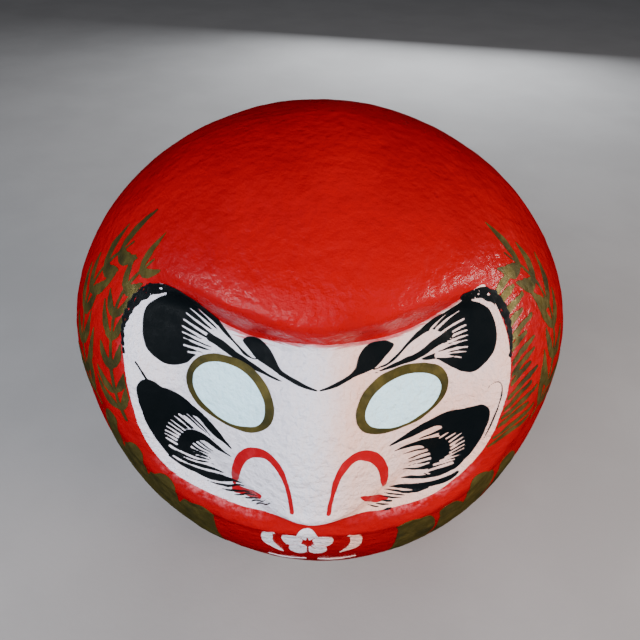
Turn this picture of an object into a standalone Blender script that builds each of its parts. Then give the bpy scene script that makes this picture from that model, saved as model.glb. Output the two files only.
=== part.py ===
"""A large papier-mache daruma doll: a hollow round-bottomed figure with a hooded, moustached face.

The doll is a paper hull moulded in a front and a back half. Strips of paper pasted inside join the halves,
and a fired clay puck closes the mouth of the hull and is the weight that rights the doll. A second strip
holds the puck, and a paper disc covers its underside. Nothing on it moves.

Metres. The origin is the middle of the base, on the surface the doll stands on. +Z is up and -Y is the way
the face looks.
"""

import math

import bmesh
import bpy
from mathutils import Vector

# Hull. The girth is an ellipse at every height, HALF_WIDTH to each side at GIRTH_Z.
HEIGHT = 0.414
HALF_WIDTH = 0.200
DEPTH_RATIO = 0.95
GIRTH_Z = 0.232
LEAN = 0.12
CROWN_POWER = 1.88
BELLY_POWER = 2.35
MOUTH_RADIUS = 0.100
MOUTH_Z = 0.0085
ROUND_BASE_Z = 0.070
WALL = 0.0035

# Face: a shallow panel under the hood, ringed by a collar, with a broad nose down its middle.
BROW_Z = 0.339
BROW_RISE = 0.013
BROW_SPREAD = 0.062
BROW_LIP = 0.005
BROW_LIP_ABOVE = 0.011
BROW_LIP_SPREAD = 0.021
TEMPLE_X = 0.170
TEMPLE_FADE = 0.070
FACE_Z = 0.262
FACE_HALF_WIDTH = 0.133
FACE_DROP = 0.088
FACE_RISE = 0.135
FACE_LOW_POWER = 2.4
FACE_HIGH_POWER = 4.0
RECESS = 0.022
RECESS_SIDE = 0.36
RECESS_TOP = 0.030
COLLAR_LIP = 0.004
COLLAR_RING = 1.11
COLLAR_SPREAD = 0.09
COLLAR_TOP_Z = 0.300
COLLAR_FADE = 0.080
NOSE_HEIGHT = 0.034
NOSE_Z = 0.175
NOSE_WING_RISE = 0.022
NOSE_WING_X = 0.060
NOSE_TOP_Z = 0.328
NOSE_UNDERCUT = 0.026
NOSE_WIDTH = 0.044
NOSE_POWER = 2.2
NOSE_WIDTH_POWER = 0.8
NOSE_HEIGHT_POWER = 0.9
BRIDGE_WIDTH = 0.016
BRIDGE_SHARE = 0.14
RELIEF_FADE = 0.25

# Fits between pieces that touch or are glued.
GAP = 0.0003
GLUE = 0.0009

# Inner paper and the weight.
STRIP_WIDTH = 0.034
STRIP = 0.0012
STRIP_LOW_Z = 0.055
STRIP_HIGH_Z = 0.345
CROWN_STRIP_X = 0.098
PLUG_CLEAR = 0.0085
WEIGHT_TOP_Z = 0.028
WEIGHT_CROWN = 0.008
FLANGE_TOP_Z = MOUTH_Z - GAP
FLANGE_LOW_SHARE = 0.8
PAPER_RADIUS = 0.088
PAPER = 0.0012
BAND_DROP = 0.0025
BAND_RISE = 0.0110
BAND_CLEAR = 0.0006

# Facets.
FRONT_COLUMNS = 34
BACK_COLUMNS = 24
LOW_ROWS = 9
FACE_ROWS = 26
HIGH_ROWS = 11
BACK_ROWS = (10, 12, 9)
FACE_LOW_Z = 0.140
FACE_HIGH_Z = 0.362
STRIP_COLUMNS = 3
STRIP_ROWS = 18
TURNED_STEPS = 48
EDGE_STEPS = 4
DOME_STEPS = 5
BAND_STEPS = 4
WELD = 1e-6
PROBE = 1e-4
SHARP = math.radians(40)

# Finishes: colour, roughness.
RED_PAINT = ((0.62, 0.012, 0.010), 0.35)
BARE_PAPER = ((0.62, 0.55, 0.42), 0.90)
PASTE_PAPER = ((0.70, 0.64, 0.52), 0.92)
CLAY = ((0.42, 0.24, 0.14), 0.85)


def lean(z):
    """How far the hull's middle is carried forward at height z; it is centred at the mouth."""
    return -LEAN * (z - MOUTH_Z)


def smooth(t):
    """0 below 0, 1 above 1, and an S between them."""
    t = min(max(t, 0.0), 1.0)
    return t * t * (3 - 2 * t)


def belly_drop():
    """How far below the girth the belly's curve would close if the mouth did not cut it."""
    share = (MOUTH_RADIUS / HALF_WIDTH) ** BELLY_POWER
    return (GIRTH_Z - MOUTH_Z) / (1 - share) ** (1 / BELLY_POWER)


def girth(z):
    """The hull's half width at height z, as a share of HALF_WIDTH."""
    if z >= GIRTH_Z:
        t, power = (z - GIRTH_Z) / (HEIGHT - GIRTH_Z), CROWN_POWER
    else:
        t, power = (GIRTH_Z - z) / belly_drop(), BELLY_POWER
    return max(1 - min(t, 1.0) ** power, 0.0) ** (1 / power)


def depth_ratio(z):
    """Depth over width of the girth: round at the mouth, flatter above."""
    return 1 + (DEPTH_RATIO - 1) * smooth((z - MOUTH_Z) / ROUND_BASE_Z)


def brow_line(x):
    """Height of the hood's lower edge: lowest over the nose, rising to the temples."""
    return BROW_Z + BROW_RISE * (1 - math.exp(-((x / BROW_SPREAD) ** 2)))


def face_ring(x, z):
    """1 on the face's outline, less inside it."""
    reach, power = (FACE_RISE, FACE_HIGH_POWER) if z > FACE_Z else (FACE_DROP, FACE_LOW_POWER)
    across, along = abs(x) / FACE_HALF_WIDTH, abs(z - FACE_Z) / reach
    return (across**power + along**power) ** (1 / power)


def nose(x, z):
    """How far the nose stands off the face."""
    low = NOSE_Z + NOSE_WING_RISE * (x / NOSE_WING_X) ** 2
    up = (z - low) / (NOSE_TOP_Z - low) if z < NOSE_TOP_Z else 1.0
    taper = max(1 - max(up, 0.0), 0.0)
    width = BRIDGE_WIDTH + NOSE_WIDTH * taper**NOSE_WIDTH_POWER
    height = BRIDGE_SHARE + (1 - BRIDGE_SHARE) * taper**NOSE_HEIGHT_POWER
    under = smooth((z - low) / NOSE_UNDERCUT)
    over = smooth((brow_line(x) - z) / RECESS_TOP)
    return NOSE_HEIGHT * height * under * over * math.exp(-((abs(x) / width) ** NOSE_POWER))


def relief(x, z):
    """How far the face lies behind the plain hull at (x, z), or in front of it where this is negative."""
    ring = face_ring(x, z)
    brow = brow_line(x)
    inside = smooth((1 - ring) / RECESS_SIDE) * smooth((brow - z) / RECESS_TOP)
    temple = smooth((TEMPLE_X - abs(x)) / TEMPLE_FADE)
    lip = math.exp(-(((z - brow - BROW_LIP_ABOVE) / BROW_LIP_SPREAD) ** 2)) * temple
    collar = math.exp(-(((ring - COLLAR_RING) / COLLAR_SPREAD) ** 2)) * smooth((COLLAR_TOP_Z - z) / COLLAR_FADE)
    return RECESS * inside - BROW_LIP * lip - COLLAR_LIP * collar - nose(x, z)


def hull(theta, z):
    """The hull's outer surface. theta is 0 at the middle of the face and grows towards +X."""
    width = HALF_WIDTH * girth(z)
    x = width * math.sin(theta)
    y = lean(z) - width * depth_ratio(z) * math.cos(theta)
    if math.cos(theta) > 0:
        y += relief(x, z) * smooth(math.cos(theta) / RELIEF_FADE)
    return Vector((x, y, z))


def crown(x, across):
    """The hull's outer surface over the top, by x and by the distance behind the parting plane."""
    share = math.hypot(x, across / DEPTH_RATIO) / HALF_WIDTH
    z = GIRTH_Z + (HEIGHT - GIRTH_Z) * (1 - share**CROWN_POWER) ** (1 / CROWN_POWER)
    return Vector((x, across + lean(z), z))


def normal(surface, u, v):
    """The surface's normal at (u, v), turned away from the inside of the doll."""
    du = surface(u + PROBE, v) - surface(u - PROBE, v)
    dv = surface(u, v + PROBE) - surface(u, v - PROBE)
    n = du.cross(dv).normalized()
    at = surface(u, v)
    inside = Vector((0, lean(GIRTH_Z), GIRTH_Z))
    return n if n.dot(at - inside) > 0 else -n


def material(name, finish):
    colour, roughness = finish
    made = bpy.data.materials.new(name)
    made.use_nodes = True
    shader = made.node_tree.nodes["Principled BSDF"]
    shader.inputs["Base Color"].default_value = (*colour, 1)
    shader.inputs["Roughness"].default_value = roughness
    shader.inputs["Metallic"].default_value = 0.0
    return made


def add(name, points, faces, paint):
    """A smooth-shaded object with sharp edges kept sharp, its faces turned to point out."""
    mesh = bpy.data.meshes.new(name)
    mesh.from_pydata(points, [], faces)
    mesh.materials.append(paint)
    made = bpy.data.objects.new(name, mesh)
    bpy.context.scene.collection.objects.link(made)
    mesh.shade_smooth()
    mesh.set_sharp_from_angle(angle=SHARP)
    return made


def slab(outer, inner):
    """The points and faces of a closed slab between two grids of the same size."""
    rows, columns = len(outer), len(outer[0])
    points = [p for row in outer + inner for p in row]
    below = rows * columns

    def at(r, c, layer):
        return layer * below + r * columns + c

    faces = []
    for r in range(rows - 1):
        for c in range(columns - 1):
            quad = [at(r, c, 0), at(r, c + 1, 0), at(r + 1, c + 1, 0), at(r + 1, c, 0)]
            faces.append(quad)
            faces.append([below + i for i in reversed(quad)])
    edge = [(0, c) for c in range(columns)] + [(r, columns - 1) for r in range(1, rows)]
    edge += [(rows - 1, c) for c in range(columns - 2, -1, -1)] + [(r, 0) for r in range(rows - 2, 0, -1)]
    for (r, c), (s, d) in zip(edge, edge[1:] + edge[:1]):
        faces.append([at(r, c, 1), at(s, d, 1), at(s, d, 0), at(r, c, 0)])
    return points, faces


def low_z(phi):
    """Height on the belly's curve, phi from 0 at the girth to a right angle where it would close."""
    return GIRTH_Z - belly_drop() * math.sin(phi) ** (2 / BELLY_POWER)


def high_z(phi):
    """Height on the crown's curve, phi from 0 at the girth to a right angle at the pole."""
    return GIRTH_Z + (HEIGHT - GIRTH_Z) * math.sin(phi) ** (2 / CROWN_POWER)


def row_heights(low, face, high):
    """Heights of the hull's rows, from the mouth to just under the pole."""
    phi_low = math.asin(((GIRTH_Z - FACE_LOW_Z) / belly_drop()) ** (BELLY_POWER / 2))
    phi_mouth = math.asin(((GIRTH_Z - MOUTH_Z) / belly_drop()) ** (BELLY_POWER / 2))
    phi_high = math.asin(((FACE_HIGH_Z - GIRTH_Z) / (HEIGHT - GIRTH_Z)) ** (CROWN_POWER / 2))
    heights = [low_z(phi_mouth + (phi_low - phi_mouth) * i / low) for i in range(low)]
    heights += [FACE_LOW_Z + (FACE_HIGH_Z - FACE_LOW_Z) * i / face for i in range(face)]
    heights += [high_z(phi_high + (math.pi / 2 - phi_high) * i / high) for i in range(high)]
    return heights


def half_shell(name, columns, heights, start, paint):
    """One half of the hull, from theta = start over half a turn, drawn back from the parting plane."""
    back = math.cos(start + math.pi / 2) < 0
    clear = Vector((0, GAP / 2 if back else -GAP / 2, 0))
    outer, inner = [], []
    for z in heights:
        thetas = [start + math.pi * c / columns for c in range(columns + 1)]
        outer.append([hull(theta, z) + clear for theta in thetas])
        row = []
        for theta, on_hull in zip(thetas, outer[-1]):
            sunk = on_hull - normal(hull, theta, z) * WALL
            parting = clear.y + lean(sunk.z)
            sunk.y = max(sunk.y, parting) if back else min(sunk.y, parting)
            row.append(sunk)
        for end in (row[0], row[-1]):
            end.y = clear.y + lean(end.z)
        inner.append(row)
    pole = crown(0, 0) + clear
    under = pole - Vector((0, 0, WALL))
    under.y = clear.y + lean(under.z)
    outer.append([pole.copy() for _ in range(columns + 1)])
    inner.append([under.copy() for _ in range(columns + 1)])
    points, faces = slab(outer, inner)
    return welded(add(name, points, faces, paint))


def welded(made):
    """Joins the points that meet at a pole and turns every face outwards."""
    shape = bmesh.new()
    shape.from_mesh(made.data)
    bmesh.ops.remove_doubles(shape, verts=shape.verts, dist=WELD)
    bmesh.ops.dissolve_degenerate(shape, edges=shape.edges, dist=WELD)
    bmesh.ops.recalc_face_normals(shape, faces=shape.faces)
    shape.to_mesh(made.data)
    shape.free()
    return made


def pasted_strip(name, surface, grid, paint):
    """A strip of paper under the inside of the hull, over a grid of the surface's own coordinates."""
    outer, inner = [], []
    for row in grid:
        line = [(surface(u, v), normal(surface, u, v)) for u, v in row]
        outer.append([at - n * (WALL + GLUE) for at, n in line])
        inner.append([at - n * (WALL + GLUE + STRIP) for at, n in line])
    points, faces = slab(outer, inner)
    return welded(add(name, points, faces, paint))


def side_strip(name, side, paint):
    """The strip down one side, along the parting. side is -1 or 1."""
    grid = []
    for r in range(STRIP_ROWS + 1):
        z = STRIP_LOW_Z + (STRIP_HIGH_Z - STRIP_LOW_Z) * r / STRIP_ROWS
        spread = STRIP_WIDTH / 2 / (HALF_WIDTH * girth(z))
        row = [side * math.pi / 2 + spread * (2 * c / STRIP_COLUMNS - 1) for c in range(STRIP_COLUMNS + 1)]
        grid.append([(theta, z) for theta in row])
    return pasted_strip(name, hull, grid, paint)


def crown_strip(name, paint):
    """The strip over the top, from side to side along the parting."""
    grid = []
    for r in range(STRIP_ROWS + 1):
        x = CROWN_STRIP_X * (2 * r / STRIP_ROWS - 1)
        grid.append([(x, STRIP_WIDTH * (c / STRIP_COLUMNS - 0.5)) for c in range(STRIP_COLUMNS + 1)])
    return pasted_strip(name, crown, grid, paint)


def turned(name, profile_at, paint):
    """A closed solid swept once round Z. profile_at(angle) gives its closed outline at that angle."""
    points, faces = [], []
    for s in range(TURNED_STEPS):
        outline = profile_at(2 * math.pi * s / TURNED_STEPS)
        points += outline
    loop = len(outline)
    for s in range(TURNED_STEPS):
        here, there = s * loop, (s + 1) % TURNED_STEPS * loop
        for i in range(loop):
            j = (i + 1) % loop
            faces.append([here + i, there + i, there + j, here + j])
    return welded(add(name, points, faces, paint))


def round_profile(profile):
    """The outline at any angle of a solid that is round about Z, from its (radius, height) pairs."""
    return lambda a: [Vector((r * math.sin(a), -r * math.cos(a), z)) for r, z in profile]


def base_weight(paint):
    """A clay plug inside the mouth with a domed top, on a flange that the hull's rim stands on."""
    low = PAPER + GAP
    plug = MOUTH_RADIUS - PLUG_CLEAR
    flange = MOUTH_RADIUS - GAP
    bend = FLANGE_TOP_Z - low
    profile = [(0, low)]
    for i in range(EDGE_STEPS + 1):
        a = math.pi / 2 * i / EDGE_STEPS
        profile.append((flange - bend * (1 - math.sin(a)), low + bend * (1 - math.cos(a)) * FLANGE_LOW_SHARE))
    profile += [(flange, FLANGE_TOP_Z), (plug, FLANGE_TOP_Z), (plug, WEIGHT_TOP_Z)]
    for i in range(1, DOME_STEPS):
        a = math.pi / 2 * i / DOME_STEPS
        profile.append((plug * math.cos(a), WEIGHT_TOP_Z + WEIGHT_CROWN * math.sin(a)))
    profile.append((0, WEIGHT_TOP_Z + WEIGHT_CROWN))
    return turned("base_weight", round_profile(profile), paint)


def base_paper(paint):
    """A flat paper disc under the weight, the face the doll rests on."""
    profile = [(0, 0), (PAPER_RADIUS, 0), (PAPER_RADIUS, PAPER), (0, PAPER)]
    return turned("base_paper", round_profile(profile), paint)


def joint_strip(paint):
    """A paper band pasted over the joint, from the flange's side up the foot of the hull."""

    def outline(a):
        sideways = Vector((math.sin(a), -math.cos(a), 0))
        corner = hull(a, MOUTH_Z)
        line = [(corner - Vector((0, 0, BAND_DROP)), sideways), (corner, sideways)]
        for i in range(1, BAND_STEPS + 1):
            z = MOUTH_Z + BAND_RISE * i / BAND_STEPS
            line.append((hull(a, z), normal(hull, a, z)))
        inner = [at + n * BAND_CLEAR for at, n in line]
        outer = [at + n * (BAND_CLEAR + STRIP) for at, n in line]
        return inner + outer[::-1]

    return turned("joint_strip", outline, paint)


def build():
    for old in list(bpy.data.objects):
        bpy.data.objects.remove(old, do_unlink=True)
    heights = row_heights(LOW_ROWS, FACE_ROWS, HIGH_ROWS)
    half_shell("body_front", FRONT_COLUMNS, heights, -math.pi / 2, material("red_paint_front", RED_PAINT))
    heights = row_heights(*BACK_ROWS)
    half_shell("body_back", BACK_COLUMNS, heights, math.pi / 2, material("red_paint_back", RED_PAINT))
    crown_strip("seam_strip_crown", material("seam_paper_crown", PASTE_PAPER))
    side_strip("seam_strip_left", -1, material("seam_paper_left", PASTE_PAPER))
    side_strip("seam_strip_right", 1, material("seam_paper_right", PASTE_PAPER))
    base_weight(material("fired_clay", CLAY))
    joint_strip(material("joint_paper", PASTE_PAPER))
    base_paper(material("base_paper_sheet", BARE_PAPER))


build()
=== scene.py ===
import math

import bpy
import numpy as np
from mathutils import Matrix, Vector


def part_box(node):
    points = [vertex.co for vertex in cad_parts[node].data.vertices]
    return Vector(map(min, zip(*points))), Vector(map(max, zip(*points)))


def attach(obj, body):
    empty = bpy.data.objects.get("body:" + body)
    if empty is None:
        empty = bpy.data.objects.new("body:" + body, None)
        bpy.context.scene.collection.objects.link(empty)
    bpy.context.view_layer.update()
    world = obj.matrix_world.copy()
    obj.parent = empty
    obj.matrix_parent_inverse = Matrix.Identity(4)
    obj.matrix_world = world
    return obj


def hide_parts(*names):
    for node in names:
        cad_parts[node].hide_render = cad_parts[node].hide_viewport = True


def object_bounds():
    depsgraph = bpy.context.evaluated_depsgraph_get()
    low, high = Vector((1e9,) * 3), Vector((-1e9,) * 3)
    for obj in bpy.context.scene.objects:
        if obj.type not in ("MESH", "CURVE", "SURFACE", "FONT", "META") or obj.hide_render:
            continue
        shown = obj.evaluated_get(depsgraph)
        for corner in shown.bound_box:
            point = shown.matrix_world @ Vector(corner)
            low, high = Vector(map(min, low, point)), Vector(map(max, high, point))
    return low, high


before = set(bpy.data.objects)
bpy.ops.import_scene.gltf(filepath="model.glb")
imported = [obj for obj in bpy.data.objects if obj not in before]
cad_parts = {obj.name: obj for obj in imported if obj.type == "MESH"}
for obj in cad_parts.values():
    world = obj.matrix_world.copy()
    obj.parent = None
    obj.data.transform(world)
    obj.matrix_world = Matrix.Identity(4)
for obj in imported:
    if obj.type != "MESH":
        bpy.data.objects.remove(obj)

# Looks of the papier-mache daruma doll: its hull with the pulp of the paper, the paints on it, the base.
#
# Lengths are metres, and millimetres in the painted shapes. A painted shape is a signed field over the hull,
# positive inside the paint, and becomes a thin closed film that follows the hull. u is the distance round the
# hull at its girth, to +X from the middle of the face, and z is the height.

MM = 0.001
cad_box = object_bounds()

# ---- the hull's surface, as in the CAD
HEIGHT = cad_box[1].z
HALF_WIDTH = 0.200
DEPTH_RATIO = 0.95
GIRTH_Z = 0.232
LEAN = 0.12
CROWN_POWER = 1.88
BELLY_POWER = 2.35
MOUTH_RADIUS = 0.100
MOUTH_Z = 0.0085
ROUND_BASE_Z = 0.070
WALL = 0.0035
BROW_Z = 0.339
BROW_RISE = 0.013
BROW_SPREAD = 0.062
BROW_LIP = 0.005
BROW_LIP_ABOVE = 0.011
BROW_LIP_SPREAD = 0.021
TEMPLE_X = 0.170
TEMPLE_FADE = 0.070
FACE_Z = 0.262
FACE_HALF_WIDTH = 0.133
FACE_DROP = 0.088
FACE_RISE = 0.135
FACE_LOW_POWER = 2.4
FACE_HIGH_POWER = 4.0
RECESS = 0.022
RECESS_SIDE = 0.36
RECESS_TOP = 0.030
COLLAR_LIP = 0.004
COLLAR_RING = 1.11
COLLAR_SPREAD = 0.09
COLLAR_TOP_Z = 0.300
COLLAR_FADE = 0.080
NOSE_HEIGHT = 0.034
NOSE_Z = 0.175
NOSE_WING_RISE = 0.022
NOSE_WING_X = 0.060
NOSE_TOP_Z = 0.328
NOSE_UNDERCUT = 0.026
NOSE_WIDTH = 0.044
NOSE_POWER = 2.2
NOSE_WIDTH_POWER = 0.8
NOSE_HEIGHT_POWER = 0.9
BRIDGE_WIDTH = 0.016
BRIDGE_SHARE = 0.14
RELIEF_FADE = 0.25

# ---- the skin: pulp, wrinkles and the parting
PULP = 0.00022
PULP_SIZE = 0.0085
FINE_PULP_SHARE = 0.5
FINE_PULP_SIZE = PULP_SIZE * 0.46
SWELL = 0.00045
SWELL_SIZE = 0.036
WRINKLE = 0.00014
WRINKLE_SIZE = (0.060, 0.060, 0.0075)
WRINKLE_BELOW = 0.3
PARTING_RIDGE = 0.00022
PARTING_SPREAD = 0.0035
PROBE = 2e-4
NOISE_SIDE = 32
NOISE = np.random.RandomState(11).rand(NOISE_SIDE, NOISE_SIDE, NOISE_SIDE)

# ---- the paint films
U_SCALE = HALF_WIDTH / MM
COAT_SINK = 0.0007
COAT_SINK_FROM = 1.0
COAT_SINK_WIDTH = 3.0
WHITE_LIFT = 0.00020
ENAMEL_LIFT = 0.00042
STROKE_LIFT = 0.00055
RING_LIFT = 0.00068
COAT_STROKE_LIFT = 0.00030
FILM_DEPTH = 0.0002
SNAP = 0.08
# The value of a field well away from its shape, and how far from the shape it is worked out.
OUTSIDE = -9.0
REACH = 9
CURVE_STEPS = 10
OUTLINE_STEPS = 8
CREASE = 50


def smooth(t):
    """0 below 0, 1 above 1, and an S between them."""
    t = np.clip(t, 0.0, 1.0)
    return t * t * (3 - 2 * t)


def lean(z):
    """How far the hull's middle lies back at height z."""
    return -LEAN * (z - MOUTH_Z)


BELLY_DROP = (GIRTH_Z - MOUTH_Z) / (1 - (MOUTH_RADIUS / HALF_WIDTH) ** BELLY_POWER) ** (1 / BELLY_POWER)


def girth(z):
    """The hull's half width at height z, as a share of HALF_WIDTH."""
    up = np.clip((z - GIRTH_Z) / (HEIGHT - GIRTH_Z), 0, 1)
    down = np.clip((GIRTH_Z - z) / BELLY_DROP, 0, 1)
    crown = (1 - up**CROWN_POWER) ** (1 / CROWN_POWER)
    belly = (1 - down**BELLY_POWER) ** (1 / BELLY_POWER)
    return np.where(z >= GIRTH_Z, crown, belly)


def brow_line(x):
    return BROW_Z + BROW_RISE * (1 - np.exp(-((x / BROW_SPREAD) ** 2)))


def face_ring(x, z):
    """1 on the face's outline, less inside it."""

    def ring(reach, power):
        return ((np.abs(x) / FACE_HALF_WIDTH) ** power + (np.abs(z - FACE_Z) / reach) ** power) ** (1 / power)

    return np.where(z > FACE_Z, ring(FACE_RISE, FACE_HIGH_POWER), ring(FACE_DROP, FACE_LOW_POWER))


def nose(x, z):
    low = NOSE_Z + NOSE_WING_RISE * (x / NOSE_WING_X) ** 2
    span = np.where(z < NOSE_TOP_Z, NOSE_TOP_Z - low, 1.0)
    up = np.where(z < NOSE_TOP_Z, (z - low) / span, 1.0)
    taper = np.clip(1 - np.maximum(up, 0), 0, 1)
    width = BRIDGE_WIDTH + NOSE_WIDTH * taper**NOSE_WIDTH_POWER
    height = BRIDGE_SHARE + (1 - BRIDGE_SHARE) * taper**NOSE_HEIGHT_POWER
    rise = smooth((z - low) / NOSE_UNDERCUT) * smooth((brow_line(x) - z) / RECESS_TOP)
    return NOSE_HEIGHT * height * rise * np.exp(-((np.abs(x) / width) ** NOSE_POWER))


def relief(x, z):
    """How far the face lies behind the plain hull, or in front of it where this is negative."""
    ring, brow = face_ring(x, z), brow_line(x)
    inside = smooth((1 - ring) / RECESS_SIDE) * smooth((brow - z) / RECESS_TOP)
    temple = smooth((TEMPLE_X - np.abs(x)) / TEMPLE_FADE)
    lip = np.exp(-(((z - brow - BROW_LIP_ABOVE) / BROW_LIP_SPREAD) ** 2)) * temple
    collar = np.exp(-(((ring - COLLAR_RING) / COLLAR_SPREAD) ** 2)) * smooth((COLLAR_TOP_Z - z) / COLLAR_FADE)
    return RECESS * inside - BROW_LIP * lip - COLLAR_LIP * collar - nose(x, z)


def hull(theta, z):
    """Points of the plain hull, theta being 0 at the middle of the face and growing towards +X."""
    width = HALF_WIDTH * girth(z)
    x = width * np.sin(theta)
    ratio = 1 + (DEPTH_RATIO - 1) * smooth((z - MOUTH_Z) / ROUND_BASE_Z)
    front = np.cos(theta)
    y = lean(z) - width * ratio * front + np.where(front > 0, relief(x, z) * smooth(front / RELIEF_FADE), 0)
    return np.stack((x, y, z + 0 * x), -1)


def normal(theta, z):
    """Unit normals of the hull, out of the doll."""
    along = hull(theta + PROBE, z) - hull(theta - PROBE, z)
    up = hull(theta, z + PROBE) - hull(theta, z - PROBE)
    n = np.cross(along, up)
    return n / np.maximum(np.linalg.norm(n, axis=-1, keepdims=True), 1e-12)


def noise(points, size, shift=0.0):
    """Smooth noise from -1 to 1 at points, with features about size across."""
    p = points / np.asarray(size) + shift
    cell = np.floor(p).astype(int)
    t = p - cell
    t = t * t * (3 - 2 * t)
    total = 0.0
    for corner in range(8):
        step = np.array((corner & 1, corner >> 1 & 1, corner >> 2 & 1))
        weight = np.prod(np.where(step, t, 1 - t), -1)
        i = (cell + step) % NOISE_SIDE
        total = total + weight * NOISE[i[..., 0], i[..., 1], i[..., 2]]
    return 2 * total - 1


def skin(theta, z, lift=0.0):
    """Points of the finished surface, lifted off it by lift: the hull with its pulp, swells and wrinkles."""
    at, n = hull(theta, z), normal(theta, z)
    pulp = PULP * (noise(at, PULP_SIZE) + FINE_PULP_SHARE * noise(at, FINE_PULP_SIZE, 7.3))
    swell = SWELL * noise(at, SWELL_SIZE, 3.1)
    crown = smooth((z - GIRTH_Z) / (HEIGHT - GIRTH_Z) * 2)
    wrinkle = WRINKLE * noise(at, WRINKLE_SIZE, 5.7) * (WRINKLE_BELOW + (1 - WRINKLE_BELOW) * crown)
    off_parting = np.abs(HALF_WIDTH * girth(z) * np.cos(theta))
    ridge = PARTING_RIDGE * np.exp(-((off_parting / PARTING_SPREAD) ** 2))
    return at + n * (pulp + swell + wrinkle + ridge + lift)[..., None]


# ---- fields, in millimetres
def curve(points, closed=False, steps=CURVE_STEPS):
    """Points of a smooth curve through the given ones."""
    p = np.array(points, float)
    if len(p) < 3 and not closed:
        return np.array([p[0] + (p[1] - p[0]) * t for t in np.linspace(0, 1, steps)])
    ends = np.vstack((p[-1:], p, p[:2])) if closed else np.vstack((2 * p[0] - p[1], p, 2 * p[-1] - p[-2]))
    out = []
    for a, b, c, d in zip(ends, ends[1:], ends[2:], ends[3:]):
        t = np.linspace(0, 1, steps, endpoint=False)[:, None]
        bend = (2 * a - 5 * b + 4 * c - d) * t**2 + (3 * b - a - 3 * c + d) * t**3
        out.append(0.5 * (2 * b + (c - a) * t + bend))
    return np.vstack(out) if closed else np.vstack(out + [p[-1:]])


def near(grid, line, reach):
    """Which grid points lie within reach of a line's box."""
    low, high = line.min(0) - reach, line.max(0) + reach
    return np.all((grid >= low) & (grid <= high), -1)


def to_segment(p, a, b):
    """How far along the segment from a to b each point lies, from 0 to 1, and its distance from it."""
    ab = b - a
    t = np.clip((p - a) @ ab / max(ab @ ab, 1e-9), 0, 1)
    return t, np.linalg.norm(p - a - t[:, None] * ab, axis=1)


def brush(grid, points, widths):
    """A brush stroke along points, its widths spread evenly from its start to its end."""
    line = curve(points)
    lengths = np.concatenate(([0], np.cumsum(np.linalg.norm(np.diff(line, axis=0), axis=1))))
    half = np.interp(lengths / lengths[-1], np.linspace(0, 1, len(widths)), widths) / 2
    field = np.full(grid.shape[:-1], OUTSIDE)
    where = near(grid, line, REACH + half.max())
    p = grid[where]
    best = np.full(len(p), OUTSIDE)
    for a, b, wide_a, wide_b in zip(line, line[1:], half, half[1:]):
        t, distance = to_segment(p, a, b)
        best = np.maximum(best, wide_a + (wide_b - wide_a) * t - distance)
    field[where] = best
    return field


def blob(grid, points, steps=OUTLINE_STEPS):
    """The area inside a smooth closed outline."""
    line = curve(points, True, steps)
    field = np.full(grid.shape[:-1], OUTSIDE)
    where = near(grid, line, REACH)
    p = grid[where]
    far, inside = np.full(len(p), 1e9), np.zeros(len(p), bool)
    for a, b in zip(line, np.roll(line, -1, 0)):
        far = np.minimum(far, to_segment(p, a, b)[1])
        crosses = (a[1] > p[:, 1]) != (b[1] > p[:, 1])
        rise = np.where(b[1] == a[1], 1e-9, b[1] - a[1])
        inside ^= crosses & (p[:, 0] < (b[0] - a[0]) * (p[:, 1] - a[1]) / rise + a[0])
    field[where] = np.clip(np.where(inside, far, -far), OUTSIDE, None)
    return field


def oval(grid, centre, radii, tilt):
    """The area of a tilted ellipse, as a distance from its edge."""
    c = grid - np.array(centre)
    a = math.radians(tilt)
    x = c[..., 0] * math.cos(a) + c[..., 1] * math.sin(a)
    y = -c[..., 0] * math.sin(a) + c[..., 1] * math.cos(a)
    share = np.hypot(x / radii[0], y / radii[1])
    return (1 - share) * np.hypot(x, y) / np.maximum(share, 1e-6)


def union(*fields):
    return np.maximum.reduce(fields)


def cut(field, *others):
    """The field with the others taken out of it."""
    return np.minimum(field, -np.maximum.reduce(others))


# ---- meshes
def piece(name, points, faces, paint, replaced=(), attributes=None, crease=CREASE):
    """A named piece of the doll, smooth-shaded, riding on the CAD body."""
    mesh = bpy.data.meshes.new(name)
    mesh.from_pydata(points.tolist() if isinstance(points, np.ndarray) else points, [], faces)
    mesh.materials.append(paint)
    for key, values in (attributes or {}).items():
        mesh.attributes.new(key, "FLOAT", "POINT").data.foreach_set("value", values.astype(np.float32))
    made = bpy.data.objects.new(name, mesh)
    bpy.context.scene.collection.objects.link(made)
    mesh.shade_smooth()
    mesh.set_sharp_from_angle(angle=math.radians(crease))
    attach(made, "root")
    if replaced:
        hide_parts(*replaced)
    return made


def across_hull(uz):
    """x of points (u, z) on the hull, in millimetres."""
    return HALF_WIDTH / MM * girth(uz[..., 1] * MM) * np.sin(uz[..., 0] / U_SCALE)


class Patch:
    """A window of the hull on which paint is laid: a grid of (u, z), and the same points as (x, z)."""

    def __init__(self, u_low, u_high, z_low, z_high, step, sign=1):
        u_low, u_high = sorted((sign * u_low, sign * u_high))
        u = np.arange(u_low, u_high + step, step)
        z = np.arange(z_low, z_high + step, step)
        self.uz = np.stack(np.meshgrid(u, z), -1)
        self.xz = self.uz.copy()
        self.xz[..., 0] = across_hull(self.uz)

    def wobble(self, size, amount, seed):
        """Uneven edges: noise of this size, amount and seed over the patch."""
        p = np.concatenate((self.uz, 0 * self.uz[..., :1] + seed), -1)
        return amount * noise(p, size, seed)


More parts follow.
